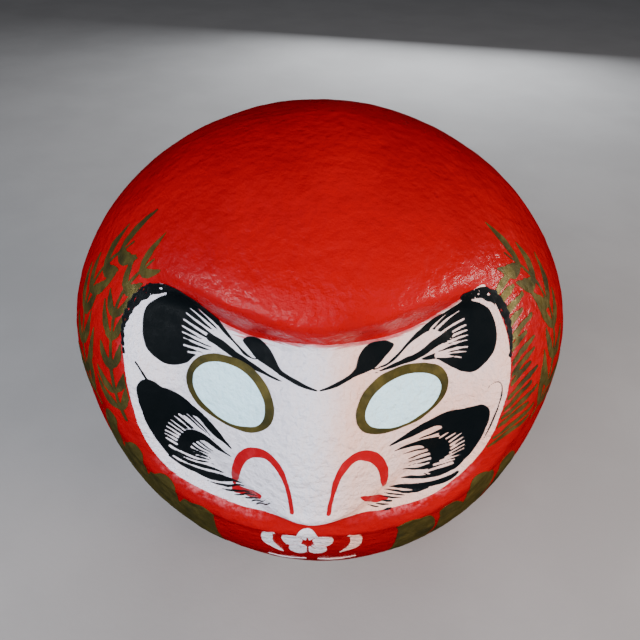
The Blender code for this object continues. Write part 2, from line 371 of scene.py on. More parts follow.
def film(name, patch, field, lift, paint, extra=None):
    """A thin closed film of paint over the part of the patch where the field is positive."""
    rows, columns = field.shape
    inside = field > 0
    ids, at, depth = {}, [], []

    def node(r, c):
        key = (r, c)
        if key not in ids:
            ids[key] = len(at)
            at.append(patch.uz[r, c])
            depth.append(field[r, c])
        return ids[key]

    def crossing(r, c, s, d):
        key = (min(r, s), min(c, d), "r" if r != s else "c")
        if key not in ids:
            t = float(np.clip(field[r, c] / (field[r, c] - field[s, d]), SNAP, 1 - SNAP))
            ids[key] = len(at)
            at.append(patch.uz[r, c] * (1 - t) + patch.uz[s, d] * t)
            depth.append(0.0)
        return ids[key]

    faces = []
    count = inside[:-1, :-1].astype(int) + inside[1:, :-1] + inside[:-1, 1:] + inside[1:, 1:]
    for r, c in np.argwhere(count > 0):
        corners = ((r, c), (r, c + 1), (r + 1, c + 1), (r + 1, c))
        if count[r, c] == 4:
            faces.append([node(*k) for k in corners])
            continue
        loop = []
        for (a, b), (s, d) in zip(corners, corners[1:] + corners[:1]):
            if inside[a, b]:
                loop.append(node(a, b))
            if inside[a, b] != inside[s, d]:
                loop.append(crossing(a, b, s, d) if inside[a, b] else crossing(s, d, a, b))
        faces.append(loop)
    at = np.array(at)
    theta, z = at[:, 0] / U_SCALE, at[:, 1] * MM
    points = np.vstack((skin(theta, z, lift), skin(theta, z, lift - FILM_DEPTH - WHITE_LIFT)))
    edges = {}
    for loop in faces:
        for a, b in zip(loop, loop[1:] + loop[:1]):
            if (b, a) in edges:
                del edges[b, a]
            else:
                edges[a, b] = True
    below = len(at)
    closed = faces + [[below + i for i in reversed(loop)] for loop in faces]
    closed += [[b, a, below + a, below + b] for a, b in edges]
    attributes = {"edge": np.tile(np.array(depth), 2)}
    for key, values in (extra or {}).items():
        attributes[key] = np.tile(values(at), 2)
    return piece(name, points, closed, paint, attributes=attributes)


# ---- materials
class Paint:
    """A Principled material with the nodes that its helpers add."""

    def __init__(self, name, **sockets):
        self.material = bpy.data.materials.new(name)
        self.material.use_nodes = True
        self.tree = self.material.node_tree
        self.shader = self.tree.nodes["Principled BSDF"]
        for key, value in sockets.items():
            self.shader.inputs[key.replace("_", " ")].default_value = value
        self.place = self.tree.nodes.new("ShaderNodeTexCoord").outputs["Object"]

    def link(self, output, socket):
        self.tree.links.new(output, socket)

    def mapped(self, scale):
        node = self.tree.nodes.new("ShaderNodeMapping")
        node.inputs["Scale"].default_value = scale if isinstance(scale, tuple) else (scale,) * 3
        self.link(self.place, node.inputs["Vector"])
        return node.outputs["Vector"]

    def noise(self, scale, detail=4.0, roughness=0.55, distortion=0.0):
        node = self.tree.nodes.new("ShaderNodeTexNoise")
        node.inputs["Scale"].default_value = 1.0
        node.inputs["Detail"].default_value = detail
        node.inputs["Roughness"].default_value = roughness
        node.inputs["Distortion"].default_value = distortion
        self.link(self.mapped(scale), node.inputs["Vector"])
        return node.outputs["Fac"]

    def across(self, low, high):
        """0 to the left of x = low and 1 to the right of x = high, in metres."""
        node = self.tree.nodes.new("ShaderNodeSeparateXYZ")
        self.link(self.place, node.inputs["Vector"])
        return self.ramp(node.outputs["X"], low, high)

    def specks(self, scale, size):
        node = self.tree.nodes.new("ShaderNodeTexVoronoi")
        node.inputs["Scale"].default_value = 1.0
        self.link(self.mapped(scale), node.inputs["Vector"])
        return self.ramp(node.outputs["Distance"], size, size * 0.6)

    def attribute(self, name):
        node = self.tree.nodes.new("ShaderNodeAttribute")
        node.attribute_name = name
        return node.outputs["Fac"]

    def ramp(self, value, low, high, out_low=0.0, out_high=1.0):
        node = self.tree.nodes.new("ShaderNodeMapRange")
        node.interpolation_type = "SMOOTHSTEP"
        for key, number in zip(("From Min", "From Max", "To Min", "To Max"), (low, high, out_low, out_high)):
            node.inputs[key].default_value = number
        self.link(value, node.inputs["Value"])
        return node.outputs["Result"]

    def maths(self, how, a, b):
        node = self.tree.nodes.new("ShaderNodeMath")
        node.operation = how
        for value, socket in zip((a, b), node.inputs):
            if isinstance(value, (int, float)):
                socket.default_value = value
            else:
                self.link(value, socket)
        return node.outputs["Value"]

    def mix(self, factor, a, b):
        node = self.tree.nodes.new("ShaderNodeMix")
        node.data_type = "RGBA"
        self.link(factor, node.inputs["Factor"])
        for value, socket in zip((a, b), (node.inputs[6], node.inputs[7])):
            if isinstance(value, tuple):
                socket.default_value = (*value, 1)
            else:
                self.link(value, socket)
        return node.outputs[2]

    def bump(self, *layers):
        """Bump layers from coarse to fine, each a height and its depth in metres."""
        before = None
        for height, depth in layers:
            node = self.tree.nodes.new("ShaderNodeBump")
            node.inputs["Distance"].default_value = depth
            node.inputs["Strength"].default_value = 1.0
            self.link(height, node.inputs["Height"])
            if before is not None:
                self.link(before, node.inputs["Normal"])
            before = node.outputs["Normal"]
        self.link(before, self.shader.inputs["Normal"])
        if "Coat Normal" in self.shader.inputs:
            self.link(before, self.shader.inputs["Coat Normal"])

    def colour(self, value):
        self.link(value, self.shader.inputs["Base Color"])

    def rough(self, scale, low, high, roughness=0.55):
        """Roughness that drifts between low and high."""
        drift = self.ramp(self.noise(scale, 4.0, roughness), 0.3, 0.7, low, high)
        self.link(drift, self.shader.inputs["Roughness"])


RED = (0.31, 0.0003, 0.0038)
RED_DEEP = (0.25, 0.0003, 0.0032)
RED_THIN = (0.32, 0.003, 0.009)
WHITE = (0.68, 0.67, 0.76)
WHITE_IN_WARM_LIGHT = (0.80, 0.50, 0.41)
WHITE_DULL = (0.58, 0.55, 0.57)
PINK = (0.48, 0.085, 0.105)
INK = (0.0022, 0.0036, 0.0046)
INK_THIN = (0.014, 0.018, 0.022)
ENAMEL = (0.55, 0.85, 0.98)
ENAMEL_DULL = (0.54, 0.76, 0.85)
GOLD = (0.088, 0.074, 0.021)
GOLD_BRIGHT = (0.15, 0.120, 0.032)
GOLD_DARK = (0.042, 0.042, 0.019)
STROKE_RED = (0.30, 0.0006, 0.006)
STROKE_PINK = (0.38, 0.012, 0.022)
PAPER = (0.62, 0.55, 0.42)
PAPER_DARK = (0.42, 0.35, 0.25)
PASTE = (0.55, 0.45, 0.34)
CLAY = (0.40, 0.20, 0.11)
CLAY_DARK = (0.24, 0.11, 0.06)
SCUFF = (0.50, 0.30, 0.24)


def red_coat():
    """Lacquer, paler pink in patches on the collar and faintly at the temples, partly a painted highlight of
    the collar's rim and partly a pale pink wash of paint by the white, and scuffed at its foot.
    """
    p = Paint("red_coat", Roughness=0.34, Coat_Weight=0.42, Coat_Roughness=0.11,
              Coat_IOR=1.36, IOR=1.36, Specular_IOR_Level=0.30)
    broad = p.noise(14.0, 3.0)
    body = p.mix(p.ramp(broad, 0.35, 0.72), RED, RED_DEEP)
    streak = p.noise((16.0, 16.0, 150.0), 5.0, 0.6, 0.3)
    body = p.mix(p.ramp(streak, 0.60, 0.80, 0.0, 0.30), body, RED_THIN)
    # Painted highlight: pink patches on the collar where light glints off its rim, with a pale pink wash of
    # paint by the white's edge.
    wash_and_sheen = p.maths("MULTIPLY", p.attribute("wash_and_sheen"), p.ramp(p.noise(200.0, 5.0, 0.7), 0.40, 0.66))
    wash_and_sheen = p.maths("MULTIPLY", wash_and_sheen, p.ramp(p.noise(34.0, 3.0), 0.42, 0.56, 0.12, 1.0))
    body = p.mix(wash_and_sheen, body, PINK)
    low = p.maths("MULTIPLY", p.attribute("foot"), p.ramp(p.noise(75.0, 5.0, 0.7), 0.50, 0.66))
    p.colour(p.mix(low, body, SCUFF))
    p.rough(120.0, 0.24, 0.44, 0.6)
    p.bump((p.noise(150.0, 3.0, 0.5), 0.0013), (p.noise((90.0, 90.0, 330.0), 3.0, 0.6), 0.00035),
           (p.noise(700.0, 3.0, 0.6), 0.00010))
    return p.material


def white_paint():
    """Chalky white, warmer to the right of the nose as painted light from a warm lamp on that side, feathered
    into the red where "feather" is set.
    """
    p = Paint("face_white", Roughness=0.46, Coat_Weight=0.12, Coat_Roughness=0.3)
    # Painted light: the white turns warm to the right of the nose's ridge, the colour of a warm light falling
    # on that side.
    warmth = p.ramp(p.noise(11.0, 3.0), 0.30, 0.62, 0.55, 1.0)
    warm_light_tint = p.maths("MULTIPLY", p.across(-0.004, 0.030), warmth)
    body = p.mix(warm_light_tint, WHITE, WHITE_IN_WARM_LIGHT)
    body = p.mix(p.ramp(p.noise(60.0, 6.0, 0.7), 0.60, 0.80, 0.0, 0.35), body, WHITE_DULL)
    speck = p.maths("MULTIPLY", p.specks(150.0, 0.045), p.ramp(p.noise(24.0, 2.0), 0.57, 0.60, 0.0, 0.75))
    body = p.mix(speck, body, INK_THIN)
    streak = p.noise((28.0, 28.0, 520.0), 5.0, 0.65, 0.4)
    ragged = p.maths("SUBTRACT", p.attribute("feather"), p.ramp(streak, 0.30, 0.70, 0.05, 0.85))
    body = p.mix(p.ramp(ragged, 0.0, 0.45, 0.0, 0.95), body, PINK)
    p.colour(body)
    p.rough(180.0, 0.38, 0.58)
    p.bump((p.noise(170.0, 3.0, 0.55), 0.0042), (p.noise(800.0, 3.0, 0.6), 0.00020))
    return p.material


def ink_paint():
    p = Paint("ink", Roughness=0.55, Specular_IOR_Level=0.12)
    skips = p.ramp(p.noise(420.0, 4.0, 0.7), 0.42, 0.7)
    thin = p.maths("MULTIPLY", p.ramp(p.attribute("edge"), 0.9, 0.1), skips)
    p.colour(p.mix(thin, INK, INK_THIN))
    p.rough(150.0, 0.45, 0.65)
    p.bump((p.noise(210.0, 4.0, 0.6), 0.00035), (p.noise(1100.0, 3.0), 0.00006))
    return p.material


def enamel_paint():
    p = Paint("eye_enamel", Roughness=0.36, Coat_Weight=0.25, Coat_Roughness=0.18)
    p.colour(p.mix(p.ramp(p.noise(70.0, 5.0, 0.7), 0.45, 0.75, 0.0, 0.55), ENAMEL, ENAMEL_DULL))
    p.rough(160.0, 0.28, 0.46)
    p.bump((p.noise(170.0, 3.0, 0.55), 0.0030), (p.noise(900.0, 3.0), 0.00006))
    return p.material


def gold_paint():
    p = Paint("gold_paint", Metallic=0.6, Roughness=0.42, Specular_IOR_Level=0.4)
    body = p.mix(p.ramp(p.noise((90.0, 90.0, 50.0), 5.0, 0.65), 0.40, 0.70), GOLD, GOLD_BRIGHT)
    p.colour(p.mix(p.ramp(p.noise(45.0, 4.0), 0.48, 0.68, 0.0, 0.8), body, GOLD_DARK))
    p.rough(240.0, 0.33, 0.56)
    p.bump((p.noise(190.0, 4.0, 0.6), 0.0004), (p.noise(1200.0, 3.0), 0.00008))
    return p.material


def stroke_paint():
    p = Paint("stroke_red", Roughness=0.45, Specular_IOR_Level=0.2)
    p.colour(p.mix(p.ramp(p.noise(130.0, 5.0, 0.7), 0.50, 0.72, 0.0, 0.7), STROKE_RED, STROKE_PINK))
    p.rough(160.0, 0.28, 0.48)
    p.bump((p.noise(210.0, 4.0, 0.6), 0.0004), (p.noise(900.0, 3.0), 0.00006))
    return p.material


def fibre_paint(name, light, dark, depth, overspray=0.0):
    """Bare or pasted paper and clay: fibres, blotches and, where it was painted over, flecks of red."""
    p = Paint(name, Roughness=0.9)
    body = p.mix(p.ramp(p.noise(38.0, 5.0, 0.7), 0.35, 0.70), light, dark)
    fibres = p.noise((700.0, 160.0, 300.0), 5.0, 0.7, 1.4)
    body = p.mix(p.ramp(fibres, 0.52, 0.74, 0.0, 0.5), body, dark)
    if overspray:
        body = p.mix(p.ramp(p.noise(110.0, 5.0, 0.75), 0.66 - overspray, 0.72 - overspray), body, RED_DEEP)
    p.colour(body)
    p.rough(90.0, 0.78, 0.97)
    p.bump((p.noise(120.0, 5.0, 0.65), depth), (fibres, depth * 0.3))
    return p.material


# ---- the painted hull
FRONT_COLUMNS = 224
BACK_COLUMNS = 128
ROW_STEP = 0.0027
INNER_ROW_STEP = 0.0052
POLE_STEP = 0.0016
FEWEST_COLUMNS = (FRONT_COLUMNS + BACK_COLUMNS) // 16
FOOT_Z = 0.022
FOOT_FADE = 0.012


def hull_rows(step):
    """Heights from the mouth to just under the pole, evenly spaced along the hull's side."""
    phi = np.linspace(0, math.pi / 2, 400)
    start = math.asin(((GIRTH_Z - MOUTH_Z) / BELLY_DROP) ** (BELLY_POWER / 2))
    low = GIRTH_Z - BELLY_DROP * np.sin(np.linspace(start, 0, 400)) ** (2 / BELLY_POWER)
    high = GIRTH_Z + (HEIGHT - GIRTH_Z) * np.sin(phi) ** (2 / CROWN_POWER)
    z = np.concatenate((low, high[1:]))
    along = np.concatenate(([0], np.cumsum(np.hypot(np.diff(z), np.diff(HALF_WIDTH * girth(z))))))
    return np.interp(np.linspace(0, along[-1], int(along[-1] / step) + 1), along, z)[:-1]


def halves(z, columns, least):
    """How many of the columns are kept at height z, halved until they stand far enough apart."""
    count = columns
    while count > FEWEST_COLUMNS and 2 * math.pi * HALF_WIDTH * float(girth(np.array(z))) / count < least:
        count //= 2
    return count


def join_rows(faces, low, high):
    """Faces between two closed rows of vertices, the one with as many or half as many as the other."""
    if len(low) == len(high):
        for i in range(len(low)):
            j = (i + 1) % len(low)
            faces.append([low[i], low[j], high[j], high[i]])
        return
    flip = len(low) < len(high)
    fine, coarse = (high, low) if flip else (low, high)
    for i in range(len(coarse)):
        a, b, c = fine[2 * i], fine[2 * i + 1], fine[(2 * i + 2) % len(fine)]
        d, e = coarse[i], coarse[(i + 1) % len(coarse)]
        made = [[a, b, d], [b, e, d], [b, c, e]]
        faces += [face[::-1] for face in made] if flip else made


def collar_wash_and_sheen(xz, depth):
    """Where the red of the collar turns pink just outside the white: partly a painted highlight of the
    collar's rim, partly a pale pink wash of paint, and faint at the temples.
    """
    x, z = np.abs(xz[:, 0]), xz[:, 1]
    sides = smooth((x - 22) / 20) * smooth((222 - z) / 30)
    temples = 0.3 * smooth((z - 240) / 20) * smooth((x - 100) / 12)
    return np.clip(sides + temples, 0, 1) * smooth((depth - OUTSIDE) / 6) * (depth < 2)


def painted_hull():
    """The hull as one closed wall, with rows of vertices up its outside and down its inside."""
    columns = FRONT_COLUMNS + BACK_COLUMNS
    front = np.linspace(-math.pi / 2, math.pi / 2, FRONT_COLUMNS, endpoint=False)
    back = np.linspace(math.pi / 2, 1.5 * math.pi, BACK_COLUMNS, endpoint=False)
    thetas = np.concatenate((front, back))
    points, rows, faces, wash_and_sheen, foot = [], [], [], [], []

    def row(z, count, inner):
        theta = thetas[:: columns // count]
        height = np.full(len(theta), z)
        if inner:
            at = hull(theta, height) - normal(theta, height) * WALL
            row_value = np.zeros(len(theta))
        else:
            xz = np.stack((HALF_WIDTH * girth(height) * np.sin(theta), height), -1) / MM
            depth = np.where(np.cos(theta) > 0, white_field(xz), OUTSIDE)
            at = skin(theta, height, -COAT_SINK * smooth((depth - COAT_SINK_FROM) / COAT_SINK_WIDTH))
            # The pink by the white on the collar: partly painted highlight, partly pale pink paint.
            row_value = collar_wash_and_sheen(xz, depth)
        rows.append(list(range(len(points), len(points) + len(theta))))
        points.extend(at.tolist())
        wash_and_sheen.extend(row_value.tolist())
        foot.extend((smooth((FOOT_Z - height) / FOOT_FADE) * (0 if inner else 1)).tolist())

    outside = [(z, halves(z, columns, POLE_STEP)) for z in hull_rows(ROW_STEP)]
    inside = [(z, min(halves(z, columns, POLE_STEP * 2), columns // 2)) for z in hull_rows(INNER_ROW_STEP)]
    inside[0] = (inside[0][0], columns)
    for z, count in reversed(inside):
        if rows and count > 2 * len(rows[-1]):
            count = 2 * len(rows[-1])
        row(z, count, True)
    for z, count in outside:
        row(z, count, False)
    for low, high in zip(rows, rows[1:]):
        join_rows(faces, low, high)
    for level, end in ((HEIGHT - WALL, rows[0]), (HEIGHT, rows[-1])):
        tip = len(points)
        points.append([0, float(lean(level)), level])
        wash_and_sheen.append(0.0)
        foot.append(0.0)
        for i, j in zip(end, end[1:] + end[:1]):
            faces.append([j, i, tip] if end is rows[0] else [i, j, tip])
    piece("hull_painted", points, faces, red_coat(), ("body_front", "body_back"),
          {"wash_and_sheen": np.array(wash_and_sheen), "foot": np.array(foot)})


# ---- the face's outlines, (x, z) in millimetres
WHITE_OUTLINE = [(-99, 338), (-114, 323), (-123, 311), (-127, 298), (-126, 280), (-124, 261), (-120, 234),
    (-113, 217), (-100, 203), (-86, 196), (-65, 189), (-43, 184), (-15, 183), (12, 183), (41, 185),
    (62, 188), (84, 194), (100, 205), (112, 218), (121, 236), (125, 255), (128, 280), (126, 299),
    (119, 319), (108, 336), (104, 342), (94, 339), (83, 332), (71, 325.5), (52, 320), (33, 318.5), (9, 322),
    (-8, 322.5), (-28, 318), (-40, 317.5), (-60, 322), (-76, 327), (-88, 334)]
EYES = {
    "left": dict(ring=((-54.2, 278.1), (30, 23.8), -4), disc=((-54.8, 277.3), (24.7, 20.1), -9)),
    "right": dict(ring=((56.4, 278.1), (30.5, 21.4), 9), disc=((57.2, 276.2), (25.1, 16.9), 8)),
}
BROWS = {"left": dict(
    mass=[(-97, 338), (-91, 339), (-86, 338.5), (-80, 336.5), (-75, 334), (-70, 330), (-65, 326.5),
        (-61, 323.5), (-58.5, 320.5), (-56, 317), (-52, 313), (-48, 310), (-44, 307), (-40, 304.7),
        (-33.5, 303.5), (-43, 304.6), (-51, 310.6), (-57, 315), (-61, 317.2), (-62.5, 313), (-64, 309),
        (-65, 305), (-65.5, 301), (-76, 297), (-83.5, 289.5), (-91, 286), (-98, 286.4), (-104, 290.2),
        (-109.4, 295.4), (-111.8, 301.4), (-112.6, 308.5), (-111.8, 315.6), (-109.2, 320.8),
        (-103.4, 325.4), (-95.6, 330.4), (-96.6, 334)],
    gaps=[((-74, 325.5), (-61, 317), 1.7), ((-80, 323.5), (-61.5, 314.5), 2.0),
        ((-83, 319.5), (-62, 312.5), 2.2), ((-85, 315.5), (-63, 309.8), 2.2),
        ((-86, 311.5), (-63.5, 307), 2.0), ((-86, 308), (-63, 305.4), 1.9),
        ((-85, 304.8), (-63, 303.2), 1.8), ((-85, 300.4), (-63, 301), 2.8), ((-82, 297), (-69, 299), 2.4)],
    leaf=[(-67, 310), (-62, 309), (-56, 306.5), (-50, 303.7), (-44, 301.3), (-36, 298.8), (-27, 297),
        (-19, 296.4)],
    comma=[(-45, 312.5), (-43, 315.6), (-39, 317.3), (-35, 317), (-31, 314.5), (-27.5, 311.5),
        (-24.5, 308), (-22, 304), (-19, 301.8), (-13, 299.3), (-18, 299.3), (-24, 300.7), (-30, 302.3),
        (-36, 304.5), (-40, 308)],
    whisker=[(-21, 301), (-11, 298.4), (2, 295)],
    border=[(-94, 336), (-101.5, 333.4), (-109.5, 329.2), (-116, 324), (-121.3, 318), (-124.8, 311),
        (-126.4, 304), (-126.6, 297), (-126, 290)],
), "right": dict(
    mass=[(99, 339), (93, 336.5), (87, 331), (80, 326.5), (74, 325), (69, 322), (65, 319), (61, 316),
        (57, 312.5), (53, 308.5), (49, 305), (44, 302), (36.5, 300.2), (44, 300.9), (50, 304),
        (55, 308.4), (60, 312.4), (66, 315.6), (73, 317), (78, 315), (81, 310), (80, 304), (67, 301),
        (78, 298.4), (84, 294), (90, 290), (96, 287.5), (102, 287.2), (107, 290.5), (112, 296),
        (115.4, 302.6), (116, 309.4), (114.6, 317), (110, 324.4), (103.4, 329.4), (97, 333)],
    gaps=[((86, 328), (72, 317.6), 1.4), ((90, 325), (76, 317), 2.0), ((94, 319.5), (78, 313.4), 2.1),
        ((95.5, 316), (82, 311), 1.9), ((96.5, 313), (82, 309), 1.9), ((97, 310), (80, 306), 1.9),
        ((97, 307), (80, 304.4), 1.8), ((97.6, 303), (77, 301.5), 2.2), ((97, 300), (77, 300.4), 1.6),
        ((94, 296.5), (79, 300), 1.5)],
    leaf=[(85, 311.3), (79.5, 310), (74, 308), (68, 305), (62, 303), (56, 301.8), (48, 300), (38, 298)],
    comma=[(48.5, 312.3), (46.6, 314.4), (43, 316.2), (38.5, 316.6), (34, 316), (30.5, 313.8),
        (28, 310.8), (26.3, 307), (24.6, 302.6), (16, 297.5), (23, 298.4), (32, 299.8), (38, 301.6),
        (43, 306)],
    whisker=[(24, 300), (15, 297.3), (4, 295)],
    border=[(92, 337.6), (100, 337.2), (107.5, 334.6), (114, 330), (119.6, 323.6), (123.4, 316.4),
        (125.6, 309), (126.6, 301.6), (126.6, 294)],
)}
BEARDS = {"left": dict(
    mass=[(-114, 274.5), (-110, 275), (-106, 273), (-101, 269.5), (-95, 267), (-89, 264.3),
        (-82.7, 260.8), (-75.7, 257), (-72, 254.4), (-69, 251.5), (-65.5, 248.5), (-62, 245.2),
        (-58.6, 241.7), (-53.6, 236.4), (-58, 238.2), (-62.3, 239.6), (-66, 241), (-69.4, 243.4),
        (-72.8, 246.8), (-76, 250.1), (-79, 251.5), (-82.5, 250.8), (-86.4, 250.4), (-88.4, 247.6),
        (-86, 243), (-80, 240.5), (-87, 237), (-92, 231), (-94, 224), (-92.5, 219), (-95.5, 215.5),
        (-101, 216), (-105, 221), (-109, 227), (-113, 236), (-115.5, 244), (-117.4, 254), (-118.4, 262),
        (-118.5, 268), (-116.8, 272)],
    swirl=[(-54.4, 229), (-58.5, 230.6), (-62.7, 232.8), (-66.3, 234.7), (-69.8, 236.8), (-73.4, 238.1),
        (-77, 238.7), (-81, 238.6), (-85, 237.2), (-89.3, 234.8), (-92.4, 231.6), (-94, 228.5),
        (-95, 223), (-93, 219.5), (-88, 216.4), (-82.8, 214), (-82.4, 216.1), (-84.7, 218.8),
        (-85.7, 221.5), (-83.7, 224.5), (-80, 228), (-75.4, 231.8), (-71.6, 232.2), (-68.4, 230.6),
        (-64, 229.4)],
    gaps=[((-91.4, 248.4), (-79.6, 240.2), 3.0), ((-95, 246.6), (-84.6, 238), 1.9),
        ((-97.8, 243.3), (-89, 235.6), 2.0), ((-99.4, 240.6), (-90.6, 233.2), 1.9),
        ((-101, 237.6), (-92.8, 231), 1.9), ((-102.2, 234.5), (-94, 228.8), 1.9),
        ((-102.5, 231.8), (-95, 226.4), 1.9), ((-102.2, 228.6), (-95, 223.2), 1.9)],
    long_gap=[(-99.8, 222.2), (-96.2, 219.6), (-91.5, 217), (-86, 214.6), (-80.6, 212.6), (-76, 211.8)],
    flicks=[[(-79.6, 229.6), (-74.5, 226.7), (-68.4, 226)], [(-82.2, 226), (-77, 223.2), (-70, 222)],
        [(-84.8, 223.2), (-79.7, 220), (-72, 219)], [(-85, 219.2), (-79, 217.4), (-71.4, 215.4)],
        [(-83, 216.6), (-77, 216), (-70.6, 214.6)], [(-83, 214.9), (-77.4, 213.6), (-70, 212.8)]],
    strokes=[
        ([(-85, 251.6), (-79.3, 247.9), (-74.4, 244.3), (-70.4, 240.3), (-66, 236.7)],
         (2.2, 1.8, 1.0, 0.8, 0.3)),
        ([(-87.6, 249.6), (-81.6, 246.2), (-76.8, 242.9), (-72.5, 240.4), (-68.8, 238.4)],
         (2.2, 1.7, 1.2, 0.8, 0.3)),
        ([(-118, 286.5), (-115, 282), (-110.5, 274)], (0.7, 1.0, 1.3)),
        ([(-96, 218), (-90.3, 215.2), (-84.8, 213), (-78, 211.2), (-69, 210.4)], (1.5, 1.4, 1.2, 1.0, 0.3)),
        ([(-97, 216.2), (-90.3, 212.5), (-84.7, 210.2), (-77.8, 208.2), (-70.7, 206.7), (-62, 205.5)],
         (2.0, 2.0, 2.2, 2.3, 2.1, 0.4)),
        ([(-100.5, 215), (-94, 210.3), (-88.3, 207.9), (-82.3, 205.6), (-72, 202.3), (-61.5, 200.9),
         (-54, 202.6), (-48.4, 205.4)], (1.2, 1.9, 2.8, 3.5, 4.8, 4.7, 2.6, 0.4)),
        ([(-75, 199.4), (-69.5, 198), (-63.5, 197), (-56.4, 197), (-46.3, 203.6)],
         (0.5, 1.3, 1.5, 1.5, 0.4)),
        ([(-63.6, 194.6), (-56.4, 193.9), (-49.2, 195.1), (-41, 202)], (0.4, 1.3, 1.7, 0.5)),
        ([(-57, 191.8), (-49.2, 192.2), (-42, 198), (-37, 204)], (0.4, 1.3, 1.6, 0.5)),
        ([(-49, 190), (-43.3, 191.8), (-38, 198), (-35.3, 203.7)], (0.4, 1.3, 1.5, 0.5)),
        ([(-42, 189.4), (-35.6, 197), (-30.4, 206)], (0.5, 1.5, 0.5)),
        ([(-38.4, 188.2), (-32.6, 196.8), (-26.6, 206)], (0.5, 1.5, 0.5)),
    ],
), "right": dict(
    mass=[(113, 264), (109.6, 264.2), (103.5, 261.9), (97, 259.8), (90.5, 258.9), (83.6, 258),
        (76.8, 256.3), (70, 254.7), (63.5, 252.1), (57, 249), (49.6, 245.6), (57.2, 246.1), (64, 246.7),
        (70.7, 248.2), (77.6, 249.4), (81.8, 249.6), (86.4, 246.8), (85.4, 243), (84.4, 240.6),
        (86, 238.4), (90, 234.5), (94, 229.5), (93.4, 222.5), (88, 217.6), (80, 210.6), (84, 208.4),
        (91, 210.2), (97, 211.4), (101, 214.4), (105, 219.4), (108, 223.6), (111, 229), (113.7, 234.8),
        (115.5, 241.8), (116.7, 248.5), (117.4, 254), (117, 259), (115.4, 262.2)],
    swirl=[(53.4, 239.4), (57.7, 240.3), (64.5, 241.2), (71.4, 241.1), (78.5, 240), (84.4, 238.6),
        (89, 236.4), (92.4, 233.6), (94.6, 230), (95, 226.5), (93.6, 222.6), (90.6, 219.3), (86.8, 216.5),
        (82.8, 213.4), (79, 211.4), (80.4, 214), (81.9, 217.5), (81, 222.6), (78, 228.5), (74.2, 234.2),
        (71.6, 236.4), (67.6, 238), (62, 238.8)],
    gaps=[((91.2, 240.8), (86, 237), 1.9), ((96.2, 239.8), (90.6, 235.4), 1.9),
        ((100.4, 239.8), (93.2, 232.6), 1.9), ((102, 236.8), (94.4, 229.6), 1.9),
        ((103, 234), (94.8, 226.8), 1.8), ((103.3, 230.8), (94.4, 223.7), 1.7),
        ((103.5, 228), (91.8, 219.8), 1.5), ((101.4, 222.8), (88.4, 217.2), 1.5),
        ((98.2, 219.2), (83.6, 213.8), 1.5)],
    long_gap=[(96.8, 216.4), (92, 214.4), (86, 212), (80, 209.8)],
    flicks=[[(77, 230.8), (68.7, 233), (60.3, 233.4)], [(80, 225.2), (71.5, 226.4), (63.4, 227.2)],
        [(81.6, 220.8), (74, 220.2), (65.4, 223)], [(82.2, 217), (74.3, 215.6), (65.6, 217.2)]],
    strokes=[
        ([(89, 243.8), (80, 243.2), (74, 243.2), (67, 242.8)], (3.4, 2.0, 1.2, 0.3)),
        ([(82, 213.4), (75.4, 211.5), (69, 211.9), (61.5, 217)], (3.0, 2.2, 1.3, 0.3)),
        ([(89.3, 210.6), (83, 209), (77, 207.8)], (1.2, 0.9, 0.3)),
        ([(61.4, 206.6), (66.2, 205.6), (73.2, 205.5), (80, 206.3), (86.5, 208), (92, 210.4), (97, 213.6)],
         (0.4, 1.8, 2.1, 2.3, 2.6, 3.0, 3.4)),
        ([(53, 202.2), (58.4, 200.3), (64.5, 199.7), (73.5, 200), (83, 201.8), (91, 203.8), (97, 206.6),
         (101, 209.8)], (0.3, 2.6, 3.2, 3.7, 3.5, 3.7, 3.7, 1.6)),
        ([(48.8, 203.4), (54.2, 198.6), (60, 196.8), (67, 196.5), (74, 197.4), (81, 199.4)],
         (0.4, 1.0, 1.4, 1.4, 1.5, 1.0)),
        ([(49.4, 198), (54.5, 195.4), (61.5, 194.8), (69, 194.9)], (0.3, 0.9, 1.1, 0.4)),
        ([(46, 196.4), (53, 193.5), (58.8, 193), (64.4, 193.4)], (0.3, 0.8, 0.9, 0.4)),
        ([(47, 192), (53.2, 191.1), (59.6, 191.3)], (0.4, 1.0, 0.4)),
        ([(44.8, 190), (49, 189.1), (53.8, 189.1)], (0.4, 0.9, 0.4)),
        ([(38.6, 192), (42.8, 188.5), (47.8, 187.4)], (0.3, 0.8, 0.3)),
        ([(49.8, 185.6), (52.7, 186.1), (55.8, 186.8)], (0.6, 1.5, 0.5)),
        ([(112.4, 273.6), (114.4, 278.2), (118.3, 280.9), (122, 279), (123.2, 273), (122.4, 264),
         (120.4, 253), (117.6, 241.7), (114.8, 232)], (0.3, 0.6, 0.7, 0.7, 0.8, 0.8, 0.8, 0.8, 0.3)),
    ],
)}
NOSTRILS = {
    "left": [(-54.5, 200), (-53.4, 208), (-51.5, 219), (-48.6, 229), (-44, 237.4), (-38, 243), (-31, 245.4),
             (-25, 243.4), (-20, 237.4), (-16.4, 228), (-14, 216), (-12.6, 203)],
    "right": [(49, 210), (48.4, 219), (46.4, 229), (42.6, 237.4), (37, 243.6), (30, 247), (24, 245.6),
             (19.6, 240.6), (16, 232.6), (14, 221), (12.4, 211), (11.6, 203)],
}
SIDES = {"left": -1, "right": 1}
WHITE_STEPS = 6
